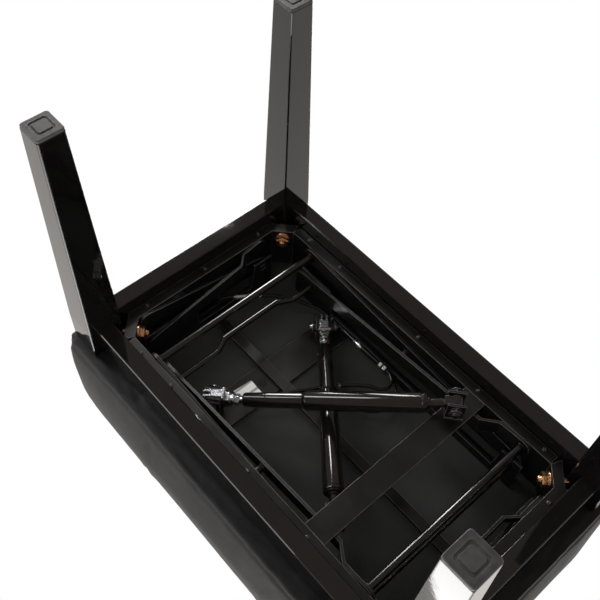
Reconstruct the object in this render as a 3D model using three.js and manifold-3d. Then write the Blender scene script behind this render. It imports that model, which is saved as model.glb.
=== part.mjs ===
// A height-adjustable piano bench: four tapered lacquered legs and aprons round a
// pressed-steel frame, two long scissor pairs and two short ones under a hollow padded
// seat, and a crossed pair of lockable gas springs released by a cable lever.
// Millimetres, +Z up, feet on z = 0, long side along X. The seat is at its lowest.
import * as THREE from 'three';
import { mergeVertices } from 'three/addons/utils/BufferGeometryUtils.js';
import Module from 'manifold-3d';

const wasm = await Module();
wasm.setup();

// ---- driving dimensions -------------------------------------------------------------
const GAP = 0.3; // clearance between touching pieces
const LEG = { top: 45, foot: 31.5, x: 269.5, y: 156.5, taperTop: 314, height: 360, ease: 1.2 };
const GLIDE = { height: 4, disc: 9.5, groove: 12, depth: 1.2 };
const APRON = { bottom: 314, top: 360, thick: 22, inset: 11, ease: 1.2 };
const RING = { x: 248, y: 134, chamfer: 22, sheet: 2.5, bottom: 336, top: 404, flange: 10.7 };
const BOLT = { z: 348.8, shank: 5, washer: 11, hex: 9.8, hexHigh: 8, intoLeg: 50, inside: 14 };
const PIVOT = { x: 187, low: 345, high: 381 }; // the long arms' fixed pivots
const ARM = { length: 372, high: 23, thick: 4, inner: 112, outer: 126.5 };
const SHORT = { length: 190, y: -85, high: 20, thick: 3.5, inner: 228.5, outer: 240.7 };
const ROD = 5; // radius of the cross rods
const TIE = { x: -163, r: 4, crank: 11 };
const TRACK = { y: 119, x: 234, thick: 3, top: 431.7, low: 370, web: 415 };
const PLATE = { x0: 92.5, x1: 124, z: 336.2, thick: 3 };
const HEAD_PLATE = { x0: -136, x1: -90, y: 118.5, z: 428.2, thick: 3.5 };
const BOARD = { x: 290, y: 178, z: 434.2, thick: 12 };
const RAIL = { thick: 18, bottom: 366 };
const CUSHION = { bottom: 363, top: 482, foldX: 299, foldY: 186, bulgeX: 310, bulgeY: 207 };
const SPRING = { tube: 12.5, sleeve: 10, rod: 5, tubeFrom: 35, tubeTo: 183, sleeveTo: 262 };
const LOWER = { side: -1, frameZ: 315, seatZ: 390 }; // the spring that passes underneath
const UPPER = { side: 1, frameZ: 362, seatZ: 412 };
const SPRING_END = { frameX: 105, frameY: 95, seatX: -118, seatY: 96 };
const LEVER = { x: -260, z: 404, tail: 424, drop: 376, tip: -310, tipZ: 371, half: 16 };

const RISE = PIVOT.high - PIVOT.low;
const LONG_ANGLE = Math.asin(RISE / ARM.length);
const SHORT_ANGLE = Math.asin(RISE / SHORT.length);

// ---- materials ----------------------------------------------------------------------
const finish = (color, roughness, metalness) =>
  new THREE.MeshStandardMaterial({ color, roughness, metalness });
const lacquer = finish('#0c0b0b', 0.08, 0);
const steel = finish('#1a1a1b', 0.4, 0.6);
const nylon = finish('#3a3a3c', 0.6, 0);
const yellowZinc = finish('#c9a45c', 0.3, 1);
const brightZinc = finish('#c4c8cc', 0.3, 1);
const chrome = finish('#d8dadd', 0.1, 1);
const plywood = finish('#8a6a48', 0.7, 0);
const vinyl = finish('#17171a', 0.45, 0);
const cambric = finish('#202123', 0.9, 0);
const hose = finish('#101012', 0.5, 0);

// ---- solids -------------------------------------------------------------------------
function solid(geometry) {
  const bare = geometry.clone();
  bare.deleteAttribute('normal');
  bare.deleteAttribute('uv');
  const merged = mergeVertices(bare, 1e-4);
  const vertProperties = new Float32Array(merged.attributes.position.array);
  const triVerts = new Uint32Array(merged.index.array);
  return new wasm.Manifold(new wasm.Mesh({ numProp: 3, vertProperties, triVerts }));
}

function geometryOf(manifold) {
  const mesh = manifold.getMesh();
  const geometry = new THREE.BufferGeometry();
  geometry.setAttribute('position', new THREE.BufferAttribute(mesh.vertProperties, 3));
  geometry.setIndex(new THREE.BufferAttribute(mesh.triVerts, 1));
  geometry.computeVertexNormals();
  return geometry;
}

const union = (first, ...rest) => rest.reduce((sum, piece) => sum.add(piece), first);
const cut = (first, ...rest) => rest.reduce((left, piece) => left.subtract(piece), first);

function box(x0, x1, y0, y1, z0, z1) {
  const geometry = new THREE.BoxGeometry(x1 - x0, y1 - y0, z1 - z0);
  geometry.translate((x0 + x1) / 2, (y0 + y1) / 2, (z0 + z1) / 2);
  return solid(geometry);
}

// A round bar along 'x', 'y' or 'z' from a to b, centred on the two other coordinates.
function round(axis, radius, a, b, [p, q], sides = 20) {
  const geometry = new THREE.CylinderGeometry(radius, radius, b - a, sides);
  geometry.translate(0, (a + b) / 2, 0);
  if (axis === 'x') {
    geometry.rotateZ(-Math.PI / 2);
    geometry.translate(0, p, q);
  } else if (axis === 'y') {
    geometry.translate(p, 0, q);
  } else {
    geometry.rotateX(Math.PI / 2);
    geometry.translate(p, q, 0);
  }
  return solid(geometry);
}

// A flat outline of [u, v] points pushed from a to b along Z.
function slab(points, a, b, holes = []) {
  const shape = new THREE.Shape(points.map(([u, v]) => new THREE.Vector2(u, v)));
  shape.holes = holes;
  const geometry = new THREE.ExtrudeGeometry(shape, { depth: b - a, bevelEnabled: false });
  geometry.translate(0, 0, a);
  return geometry;
}

// The same outline drawn in XZ and pushed from a to b along Y.
function sideSlab(points, a, b) {
  const geometry = slab(points, -b, -a);
  geometry.rotateX(Math.PI / 2);
  return solid(geometry);
}

// Rings of points, all with the same count, joined into one closed skin.
function loft(rings) {
  const count = rings[0].length;
  const position = rings.flat(2);
  const index = [];
  for (let r = 0; r + 1 < rings.length; r += 1) {
    for (let i = 0; i < count; i += 1) {
      const j = (i + 1) % count;
      const [a, b, c, d] = [r * count + i, r * count + j, (r + 1) * count + j, (r + 1) * count + i];
      index.push(a, b, c, a, c, d);
    }
  }
  const last = (rings.length - 1) * count;
  for (let i = 1; i + 1 < count; i += 1) {
    index.push(0, i + 1, i);
    index.push(last, last + i, last + i + 1);
  }
  const geometry = new THREE.BufferGeometry();
  geometry.setAttribute('position', new THREE.Float32BufferAttribute(position, 3));
  geometry.setIndex(index);
  return geometry;
}

// A rectangle with its corners rounded (steps > 0) or cut straight (steps = 0).
function rectangle(halfX, halfY, corner, z, steps = 0) {
  const ring = [];
  const quarters = [[1, 1, 0], [-1, 1, 1], [-1, -1, 2], [1, -1, 3]];
  for (const [sx, sy, turn] of quarters) {
    for (let i = 0; i <= Math.max(steps, 1); i += 1) {
      const angle = (turn + i / Math.max(steps, 1)) * Math.PI / 2;
      const x = sx * (halfX - corner) + corner * Math.cos(angle);
      const y = sy * (halfY - corner) + corner * Math.sin(angle);
      ring.push([x, y, z]);
    }
  }
  return ring;
}

// Half of the frame's octagon outline at a distance outside (+) or inside (-) its face.
function octagon(offset) {
  const x = RING.x + offset;
  const y = RING.y + offset;
  const c = RING.chamfer + offset * (2 - Math.SQRT2);
  return { x, y, c };
}

// ---- the model ----------------------------------------------------------------------
const bench = new THREE.Group();

function add(name, shape, material, parent = bench) {
  const geometry = shape.isBufferGeometry ? shape : geometryOf(shape);
  const mesh = new THREE.Mesh(geometry, material);
  mesh.name = name;
  parent.add(mesh);
  return mesh;
}

const corners = [
  ['front_left', -1, 1], ['back_left', -1, -1], ['back_right', 1, -1], ['front_right', 1, 1],
];

// A bolt's axis runs level from the frame's corner plate into the leg's centre line.
function alongCorner(shape, sx, sy) {
  const plate = { x: RING.x - RING.chamfer / 2, y: RING.y - RING.chamfer / 2 };
  const turned = shape.rotate([0, 0, Math.atan2(sy, sx) * 180 / Math.PI]);
  return turned.translate([sx * plate.x, sy * plate.y, BOLT.z]);
}

function addLegs() {
  for (const [corner, sx, sy] of corners) {
    const rings = [
      rectangle(LEG.foot / 2, LEG.foot / 2, LEG.ease, GLIDE.height + GAP),
      rectangle(LEG.top / 2, LEG.top / 2, LEG.ease, LEG.taperTop),
      rectangle(LEG.top / 2, LEG.top / 2, LEG.ease, LEG.height),
    ];
    const post = solid(loft(rings)).translate([sx * LEG.x, sy * LEG.y, 0]);
    const bore = round('x', BOLT.shank + GAP, 0, BOLT.intoLeg + 1, [0, 0], 16);
    add(`leg_${corner}`, cut(post, alongCorner(bore, sx, sy)), lacquer);
    const cap = solid(loft([
      rectangle(LEG.foot / 2, LEG.foot / 2, LEG.ease, 0),
      rectangle(LEG.foot / 2, LEG.foot / 2, LEG.ease, GLIDE.height),
    ]));
    const ring = cut(
      round('z', GLIDE.groove, -1, GLIDE.depth, [0, 0], 24),
      round('z', GLIDE.disc, -2, GLIDE.depth + 1, [0, 0], 24),
    );
    add(`glide_${corner}`, cut(cap, ring).translate([sx * LEG.x, sy * LEG.y, 0]), nylon);
  }
}

function addAprons() {
  const faceX = LEG.x + LEG.top / 2 - APRON.inset - APRON.thick / 2;
  const faceY = LEG.y + LEG.top / 2 - APRON.inset - APRON.thick / 2;
  const longHalf = LEG.x - LEG.top / 2 - GAP;
  const shortHalf = LEG.y - LEG.top / 2 - GAP;
  const midZ = (APRON.bottom + APRON.top) / 2;
  const highHalf = (APRON.top - APRON.bottom) / 2;
  const board = (half) => {
    const ends = [-half, half].map((z) => rectangle(APRON.thick / 2, highHalf, APRON.ease, z));
    return solid(loft(ends));
  };
  for (const [name, side] of [['front', 1], ['back', -1]]) {
    const apron = board(longHalf).rotate([90, 0, 90]);
    add(`apron_${name}`, apron.translate([0, side * faceY, midZ]), lacquer);
  }
  for (const [name, side] of [['left', -1], ['right', 1]]) {
    const apron = board(shortHalf).rotate([90, 0, 0]);
    add(`apron_${name}`, apron.translate([side * faceX, 0, midZ]), lacquer);
  }
}

// Long rails: an angle of sheet steel, its web slotted for the sliding rod on the left
// and drilled for the fixed pivot rod on the right.
function addLongRails() {
  const bend = octagon(-RING.sheet);
  const half = bend.x - bend.c - GAP;
  const slideEnd = PIVOT.x - ARM.length * Math.cos(LONG_ANGLE);
  for (const [name, side] of [['front', 1], ['back', -1]]) {
    const inner = RING.y - RING.sheet;
    const web = box(-half, half, inner, RING.y, RING.bottom, RING.top);
    const flange = box(-half, half, inner, RING.y + RING.flange, RING.bottom, RING.bottom + RING.sheet);
    const hole = round('y', ROD + 0.4, inner - 1, RING.y + 1, [PIVOT.x, PIVOT.low]);
    const slot = union(
      round('y', ROD + 0.6, inner - 1, RING.y + 1, [slideEnd - 2, PIVOT.low]),
      round('y', ROD + 0.6, inner - 1, RING.y + 1, [slideEnd + 32, PIVOT.low]),
      box(slideEnd - 2, slideEnd + 32, inner - 1, RING.y + 1, PIVOT.low - ROD - 0.6, PIVOT.low + ROD + 0.6),
    );
    const rail = cut(union(web, flange), hole, slot);
    add(`frame_rail_${name}`, side > 0 ? rail : rail.mirror([0, 1, 0]), steel);
  }
}

// End rails: the web turns through both corner plates, which take the leg bolts.
function addEndRails() {
  const strip = (outside, inside, z0, z1) => {
    const [o, i] = [octagon(outside), octagon(inside)];
    const path = (s) => [
      [s.x - s.c, s.y], [s.x, s.y - s.c], [s.x, -s.y + s.c], [s.x - s.c, -s.y],
    ];
    return solid(slab([...path(o), ...path(i).reverse()], z0, z1));
  };
  for (const [name, side] of [['left', -1], ['right', 1]]) {
    const web = strip(0, -RING.sheet, RING.bottom, RING.top);
    const flange = strip(RING.flange, -0.01, RING.bottom, RING.bottom + RING.sheet);
    let rail = union(web, flange);
    for (const sy of [-1, 1]) {
      const bore = round('x', BOLT.shank + GAP, -20, 20, [0, 0], 16);
      rail = cut(rail, alongCorner(bore, 1, sy));
    }
    const x0 = RING.x - RING.sheet - 1;
    const slideFrom = SHORT.y + SHORT.length * Math.cos(SHORT_ANGLE);
    const halfHigh = 4.6;
    rail = cut(
      rail,
      round('x', 4.4, x0, RING.x + 1, [SHORT.y, PIVOT.low]),
      box(x0, RING.x + 1, slideFrom - 60, slideFrom + 6, PIVOT.low - halfHigh, PIVOT.low + halfHigh),
    );
    add(`frame_rail_${name}`, side > 0 ? rail : rail.mirror([1, 0, 0]), steel);
  }
}

function addLegBolts() {
  const face = RING.sheet; // the plate lies from -RING.sheet to 0 along the bolt
  const shape = union(
    round('x', BOLT.shank, -face - BOLT.inside, BOLT.intoLeg, [0, 0], 16),
    round('x', BOLT.washer, -face - GAP - 2, -face - GAP, [0, 0], 24),
    round('x', BOLT.hex, -face - GAP - 2 - BOLT.hexHigh, -face - GAP - 2, [0, 0], 6),
    round('x', BOLT.hex, GAP, GAP + 6, [0, 0], 6),
  );
  for (const [corner, sx, sy] of corners) {
    add(`leg_bolt_${corner}`, alongCorner(shape, sx, sy), yellowZinc);
  }
}

// ---- scissor arms: local x runs along the arm from its own pivot, y across it --------
function armBlank(length, high, strip) {
  const r = high / 2;
  const outline = [];
  for (let i = 0; i <= 8; i += 1) {
    const turn = Math.PI / 2 + i * Math.PI / 8;
    outline.push([r * Math.cos(turn), r * Math.sin(turn)]);
  }
  for (let i = 0; i <= 8; i += 1) {
    const turn = -Math.PI / 2 + i * Math.PI / 8;
    outline.push([length + r * Math.cos(turn), r * Math.sin(turn)]);
  }
  return solid(slab(strip, -r - 1, r + 1)).intersect(sideSlab(outline, -300, 300));
}

function straightStrip(length, y0, thick) {
  return [[-20, y0], [length + 20, y0], [length + 20, y0 + thick], [-20, y0 + thick]];
}

// A flat bar cranked sideways between two distances from its pivot.
function crankedStrip(length, near, far, from, to, thick) {
  return [
    [-20, near], [from, near], [to, far], [length + 20, far],
    [length + 20, far + thick], [to, far + thick], [from, near + thick], [-20, near + thick],
  ];
}

function addLongArms() {
  const centre = ARM.length / 2;
  const outerY = ARM.outer;
  for (const [name, side] of [['front', 1], ['back', -1]]) {
    const lifting = new THREE.Group();
    lifting.position.set(PIVOT.x, 0, PIVOT.low);
    lifting.rotation.y = LONG_ANGLE;
    bench.add(lifting);
    const strip = crankedStrip(ARM.length, outerY, ARM.inner, 34, 54, ARM.thick);
    let arm = armBlank(ARM.length, ARM.high, strip);
    arm = cut(arm, round('y', ROD + GAP, outerY - 1, outerY + 6, [0, 0]));
    arm = union(
      arm,
      round('y', ROD, ARM.inner + 1, RING.y - RING.sheet - 0.5, [centre, 0]),
      round('y', ROD - 1, ARM.inner + 1, TRACK.y + TRACK.thick + 2, [ARM.length, 0]),
    );
    arm = arm.mirror([1, 0, 0]);
    add(`lifting_arm_${name}`, side > 0 ? arm : arm.mirror([0, 1, 0]), steel, lifting);

    const sliding = new THREE.Group();
    sliding.position.set(PIVOT.x, 0, PIVOT.high);
    sliding.rotation.y = -LONG_ANGLE;
    bench.add(sliding);
    let other = armBlank(ARM.length, ARM.high, straightStrip(ARM.length, outerY, ARM.thick));
    for (const [x, r] of [[0, ROD + GAP], [centre, ROD + 0.4], [ARM.length, ROD + GAP]]) {
      other = cut(other, round('y', r, outerY - 1, outerY + 6, [x, 0]));
    }
    other = other.mirror([1, 0, 0]);
    add(`sliding_arm_${name}`, side > 0 ? other : other.mirror([0, 1, 0]), steel, sliding);
  }
}

function addCrossRods() {
  const slideX = PIVOT.x - ARM.length * Math.cos(LONG_ANGLE);
  const low = PIVOT.low;
  const through = RING.y + 3;
  add('pivot_rod', round('y', ROD, -through, through, [PIVOT.x, low]), steel);
  add('sliding_rod', round('y', ROD, -through, through, [slideX, low]), steel);
  const seatEnd = RING.y - RING.sheet - 0.5;
  add('seat_pivot_rod', round('y', ROD, -seatEnd, seatEnd, [PIVOT.x, PIVOT.high]), steel);
  add('cranked_tie_bar', tieBar(), steel);
}

// The tie bar joins the lifting arms near their upper ends and cranks outwards.
function tieBar() {
  const end = ARM.inner - GAP;
  const along = (PIVOT.x - TIE.x) / Math.cos(LONG_ANGLE);
  const z = PIVOT.low + along * Math.sin(LONG_ANGLE);
  const out = TIE.x - TIE.crank;
  const stops = [[TIE.x, -end], [TIE.x, -78], [out, -56], [out, 30], [TIE.x, 52], [TIE.x, end]];
  const ring = ([x, y]) => {
    const points = [];
    for (let i = 0; i < 12; i += 1) {
      const turn = -i * Math.PI / 6;
      points.push([x + TIE.r * Math.cos(turn), y, z + TIE.r * Math.sin(turn)]);
    }
    return points;
  };
  return solid(loft(stops.map(ring)));
}

function addShortArms() {
  const { length, thick, inner, outer } = SHORT;
  const bolt = 4;
  const outside = RING.x - RING.sheet;
  for (const [name, side] of [['left', -1], ['right', 1]]) {
    const place = (group, z, angle) => {
      group.position.set(0, SHORT.y, z);
      group.rotation.x = angle;
      bench.add(group);
      return group;
    };
    const turn = (arm) => {
      const turned = arm.rotate([0, 0, 90]);
      return side > 0 ? turned.mirror([1, 0, 0]) : turned;
    };
    const lifting = place(new THREE.Group(), PIVOT.low, SHORT_ANGLE);
    let arm = armBlank(length, SHORT.high, crankedStrip(length, outer, inner, 26, 40, thick));
    arm = union(
      arm,
      round('y', bolt, outer + 1, outside + RING.sheet + 3, [0, 0], 16),
      round('y', bolt, inner + 1, outer + thick + 0.8, [length / 2, 0], 16),
      round('y', bolt, inner + 1, TRACK.x + TRACK.thick + 1, [length, 0], 16),
    );
    add(`short_lifting_arm_${name}`, turn(arm), steel, lifting);

    const sliding = place(new THREE.Group(), PIVOT.high, -SHORT_ANGLE);
    const reach = length + SHORT.high;
    let other = armBlank(length, SHORT.high, straightStrip(length, outer, thick));
    other = cut(other, round('y', bolt + 0.4, outer - 1, outer + thick + 1, [length / 2, 0], 16));
    other = union(
      other,
      round('y', bolt, TRACK.x - 1, outer + 1, [0, 0], 16),
      round('y', bolt, outer + 1, outside + RING.sheet + 3, [length, 0], 16),
    );
    add(`short_sliding_arm_${name}`, turn(other.trimByPlane([-1, 0, 0], -reach)), steel, sliding);
  }
}

// ---- gas springs --------------------------------------------------------------------
// Where a spring lies: its plan direction from the frame to the seat, slope and length.
function springLine({ side, frameZ, seatZ }) {
  const from = new THREE.Vector3(SPRING_END.frameX, side * SPRING_END.frameY, frameZ);
  const to = new THREE.Vector3(SPRING_END.seatX, -side * SPRING_END.seatY, seatZ);
  const run = to.clone().sub(from);
  const heading = Math.atan2(run.y, run.x);
  const slope = Math.atan2(run.z, Math.hypot(run.x, run.y));
  return { from, to, heading, slope, length: run.length() };
}

// A group whose x axis runs level along the spring, or along its own slope.
function springGroup(point, heading, slope = 0) {
  const level = new THREE.Group();
  level.position.copy(point);
  level.rotation.z = heading;
  bench.add(level);
  const tilted = new THREE.Group();
  tilted.rotation.y = -slope;
  level.add(tilted);
  return tilted;
}

// A U bracket with its pin: base plate at 'foot', ears reaching past the pin at z = 0.
function clevis(foot, pin, thick = 3) {
  const away = Math.sign(foot);
  const sheet = (a, b) => [Math.min(a, b), Math.max(a, b)];
  const [base0, base1] = sheet(foot, foot - away * thick);
  const [ear0, ear1] = sheet(foot - away * 0.5, -away * 10);
  const ears = [-1, 1].map((side) => {
    const [y0, y1] = sheet(side * 7.5, side * 10.5);
    return box(-11, 11, y0, y1, ear0, ear1);
  });
  const bolt = union(
    round('y', pin, -15.5, 15.5, [0, 0], 16),
    round('y', 7, 10.5 - 0.1, 15, [0, 0], 6),
    round('y', 7, -15, -10.5 + 0.1, [0, 0], 6),
  );
  return union(box(-11, 11, -12, 12, base0, base1), ...ears, bolt);
}

function cylinderBody() {
  const { tube, sleeve, rod, tubeFrom, tubeTo, sleeveTo } = SPRING;
  const eye = cut(
    union(round('y', 9, -6, 6, [0, 0], 20), box(0, 12, -6, 6, -6, 6)),
    round('y', 4.3, -7, 7, [0, 0], 16),
  );
  const bore = rod + 0.5;
  const profile = [
    [0, 10], [6, 10], [6, tubeFrom], [tube, tubeFrom], [tube, tubeTo], [sleeve, tubeTo + 1.5],
    [sleeve, sleeveTo], [bore, sleeveTo], [bore, tubeTo - 5], [0, tubeTo - 5],
  ];
  const body = new THREE.LatheGeometry(profile.map(([r, x]) => new THREE.Vector2(r, x)), 24);
  body.rotateZ(-Math.PI / 2);
  return union(solid(body), eye);
}

// The lug's hole is wide, because the arm's arc leaves the pin a little in mid travel.
function releaseHead(length) {
  const start = SPRING.sleeveTo + 12;
  const lug = union(
    round('y', 12, -6, 6, [length, 0], 24),
    box(start + 4, length, -6, 6, -8, 8),
    round('x', 7.2, start, start + 8, [0, 0], 20),
  );
  return cut(lug, round('y', 8.7, -7, 7, [length, 0], 20));
}

function trigger(length) {
  const bar = box(length - 20, length + 9, -5, 5, -16.5, -13);
  return cut(bar, box(length + 1, length + 10, -2, 2, -20, -10));
}

function addSprings() {
  for (const [name, spring] of [['lower', LOWER], ['upper', UPPER]]) {
    const line = springLine(spring);
    const group = springGroup(line.from, line.heading, line.slope);
    add(`${name}_cylinder`, cylinderBody(), steel, group);
    const start = SPRING.tubeTo + 7;
    const rodEnd = SPRING.sleeveTo + 12 - GAP;
    add(`${name}_piston_rod`, round('x', SPRING.rod, start, rodEnd, [0, 0]), chrome, group);
    add(`${name}_release_head`, releaseHead(line.length), brightZinc, group);
    add(`${name}_trigger`, trigger(line.length), brightZinc, group);
    const below = spring === LOWER;
    const foot = below ? PLATE.z - GAP : PLATE.z + PLATE.thick + GAP;
    const bracket = springGroup(line.from, line.heading);
    add(`${name}_spring_clevis`, clevis(foot - spring.frameZ, 4), steel, bracket);
  }
}

function addSpringPlate() {
  const half = RING.y - RING.sheet - GAP;
  const plate = box(PLATE.x0, PLATE.x1, -half, half, PLATE.z, PLATE.z + PLATE.thick);
  add('spring_cross_plate', plate, steel);
}

// ---- the seat -----------------------------------------------------------------------
function addHeadPlate() {
  const { x0, x1, y, z, thick } = HEAD_PLATE;
  let plate = box(x0, x1, -y, y, z, z + thick);
  for (const spring of [LOWER, UPPER]) {
    const line = springLine(spring);
    const bracket = clevis(z + thick - spring.seatZ, 3.5, thick);
    const turned = bracket.rotate([0, 0, line.heading * 180 / Math.PI]);
    plate = union(plate, turned.translate([line.to.x, line.to.y, line.to.z]));
  }
  add('head_cross_plate', plate, steel);
  const spineTop = z - GAP;
  add('seat_spine', box(-226, 226, -7, 7, spineTop - 5, spineTop), steel);
}

// Two deep hangers joined by a shallow web, with an outward flange on top.
function addLongTracks() {
  const slideX = PIVOT.x - ARM.length * Math.cos(LONG_ANGLE);
  const { y, thick, top, low, web } = TRACK;
  const outline = [
    [-202, low], [-136, low], [-128, web], [166, web], [172, low], [202, low],
    [202, top], [-202, top],
  ];
  for (const [name, side] of [['front', 1], ['back', -1]]) {
    const plate = sideSlab(outline, y, y + thick);
    const flange = box(-202, 202, y + 1, y + 16, top - thick, top);
    const r = ROD - 1 + 0.5;
    const slot = union(
      round('y', r, y - 1, y + thick + 1, [slideX - 2, PIVOT.high]),
      round('y', r, y - 1, y + thick + 1, [slideX + 32, PIVOT.high]),
      box(slideX - 2, slideX + 32, y - 1, y + thick + 1, PIVOT.high - r, PIVOT.high + r),
    );
    const hole = round('y', ROD + 0.4, y - 1, y + thick + 1, [PIVOT.x, PIVOT.high]);
    const track = cut(union(plate, flange), slot, hole);
    add(`seat_track_${name}`, side > 0 ? track : track.mirror([0, 1, 0]), steel);
  }
}

// The short tracks hold their arms in tall slots: those arms' arc is not quite level.
function addShortTracks() {
  const { x, thick, top, low, web } = TRACK;
  const slideFrom = SHORT.y + SHORT.length * Math.cos(SHORT_ANGLE);
  const outline = [
    [-100, low], [-70, low], [-64, web], [slideFrom - 74, web], [slideFrom - 68, low],
    [slideFrom + 13, low], [slideFrom + 13, top], [-100, top],
  ];
  const play = 3.8;
  for (const [name, side] of [['left', -1], ['right', 1]]) {
    const plate = sideSlab(outline, -x - thick, -x).rotate([0, 0, 90]);
    const flange = box(x + 1, x + 15, -100, slideFrom + 13, top - thick, top);
    const reach = [x - 1, x + thick + 1];
    const high = 4 + play;
    const track = cut(
      union(plate, flange),
      box(...reach, SHORT.y - 4.6, SHORT.y + 4.6, PIVOT.high - high, PIVOT.high + high),
      box(...reach, slideFrom - 60, slideFrom + 5.5, PIVOT.high - high, PIVOT.high + high),
    );
    add(`end_track_${name}`, side > 0 ? track : track.mirror([1, 0, 0]), steel);
  }
}

function leverNotch() {
  return box(-400, -RING.x, -LEVER.half - 8, LEVER.half + 8, 300, 394);
}

function addSeatBox() {
  const { x, y, z, thick } = BOARD;
  add('seat_board', box(-x, x, -y, y, z, z + thick), plywood);
  const top = z - GAP;
  for (const [name, side] of [['front', 1], ['back', -1]]) {
    const rail = box(-x, x, y - RAIL.thick, y, RAIL.bottom, top);
    add(`seat_rail_${name}`, side > 0 ? rail : rail.mirror([0, 1, 0]), plywood);
  }
  const half = y - RAIL.thick - GAP;
  const end = box(x - RAIL.thick, x, -half, half, RAIL.bottom, top);
  add('seat_rail_right', end, plywood);
  add('seat_rail_left', cut(end.mirror([1, 0, 0]), leverNotch()), plywood);
  const inX = x - RAIL.thick - GAP;
  add('dust_cover', box(-inX, inX, -half, half, TRACK.top + GAP, z - GAP), cambric);
}

// The padded cover: pulled in under the seat box, full at the sides, round at the top.
function addCushion() {
  const { bottom, top, foldX, foldY, bulgeX, bulgeY } = CUSHION;
  const fullness = [
    [bottom, 0, 16], [bottom + 12, 0.5, 26], [bottom + 32, 0.86, 38], [bottom + 60, 1, 48],
    [top - 32, 0.97, 52], [top - 16, 0.76, 54], [top - 6, 0.34, 56], [top - 1, -0.15, 56],
    [top, -0.6, 56],
  ];
  const rings = fullness.map(([z, full, corner]) => {
    const halfX = foldX + full * (bulgeX - foldX);
    const halfY = foldY + full * (bulgeY - foldY);
    return rectangle(halfX, halfY, corner, z, 5);
  });
  const inside = box(
    -BOARD.x - GAP, BOARD.x + GAP, -BOARD.y - GAP, BOARD.y + GAP,
    RAIL.bottom - GAP, BOARD.z + BOARD.thick + GAP,
  );
  const mouthX = BOARD.x - RAIL.thick;
  const mouthY = BOARD.y - RAIL.thick;
  const mouth = box(-mouthX, mouthX, -mouthY, mouthY, bottom - 1, BOARD.z);
  add('cushion', cut(solid(loft(rings)), inside, mouth, leverNotch()), vinyl);
}

// ---- release lever and cables -------------------------------------------------------
function addLever() {
  const { x, z, tail, drop, tip, tipZ, half } = LEVER;
  const t = 3;
  const outline = [
    [x + 2, tail], [x + 2, drop], [x - 6, drop - 6 + t], [tip, tipZ], [tip, tipZ + t],
    [x - 5, drop - 3 + t], [x - 1, drop + t], [x - 1, tail],
  ];
  const blade = sideSlab(outline, -half, half);
  const boss = round('y', 6, -half, half, [x, z], 20);
  const hole = round('y', 3.5, -half - 1, half + 1, [x, z], 16);
  const cableHole = round('x', 2, x - 5, x + 5, [0, tail - 5], 10);
  add('release_lever', cut(union(blade, boss), hole, cableHole), steel);

  const ears = [-1, 1].map((side) => {
    const y = side * (half + 2);
    return box(x - 8, x + 8, Math.min(y, y - side * 1.5), Math.max(y, y - side * 1.5), z - 8, TRACK.top);
  });
  const top = box(x - 8, x + 8, -half - 2, half + 2, TRACK.top - 2, TRACK.top);
  const pin = round('y', 3, -half - 4, half + 4, [x, z], 16);
  add('lever_bracket', union(top, ...ears, pin), steel);
}

// Cables are hand-laid along the underside of the seat.
const MAIN_CABLE = [
  [-255, -3, 418.5], [-250, -8, 415], [-244, -18, 410], [-238, -29, 409.5], [-229, -41, 409.5],
  [-212, -66, 411], [-190, -88, 413], [-162, -106, 415.5], [-138, -115, 417], [-95, -115.5, 417],
  [-60, -113, 413], [-26, -113, 411], [-8, -112, 411], [4, -106, 411], [8, -95, 411],
  [2, -85, 411], [-10, -78, 411], [-28, -60, 412], [-52, -26, 413], [-76, 14, 413],
  [-94, 42, 413], [-104, 60, 412],
];
const BRANCH_CABLE = [
  [-88, -64, 418], [-76, -60, 419], [-62, -54, 419.5], [-44, -46, 419.5], [-26, -42, 419.5],
  [-6, -44, 419.5], [12, -54, 419], [24, -70, 419], [26, -88, 419], [18, -102, 419],
  [4, -110, 419], [-14, -113, 419],
];

function cable(points, radius) {
  const curve = new THREE.CatmullRomCurve3(points.map((p) => new THREE.Vector3(...p)));
  const section = new THREE.Shape();
  for (let i = 0; i < 8; i += 1) {
    const angle = i * Math.PI / 4;
    const [u, v] = [radius * Math.cos(angle), radius * Math.sin(angle)];
    if (i === 0) section.moveTo(u, v);
    else section.lineTo(u, v);
  }
  section.closePath();
  return new THREE.ExtrudeGeometry(section, { steps: 44, extrudePath: curve, bevelEnabled: false });
}

function addCables() {
  add('release_cable', cable(MAIN_CABLE, 2.5), hose);
  add('branch_cable', cable(BRANCH_CABLE, 2.5), hose);
}

addLegs();
addAprons();
addLongRails();
addEndRails();
addLegBolts();
addSpringPlate();
addLongArms();
addCrossRods();
addShortArms();
addSprings();
addHeadPlate();
addLongTracks();
addShortTracks();
addSeatBox();
addCushion();
addLever();
addCables();

export default bench;
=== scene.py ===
"""The looks of a height-adjustable piano bench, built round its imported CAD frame.

The bench stands upright on z = 0. The camera sits low at one corner and looks up into the
underside, rolled so that the feet point up.
"""

import math

import bmesh
import bpy
from mathutils import Matrix, Vector, noise


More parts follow.
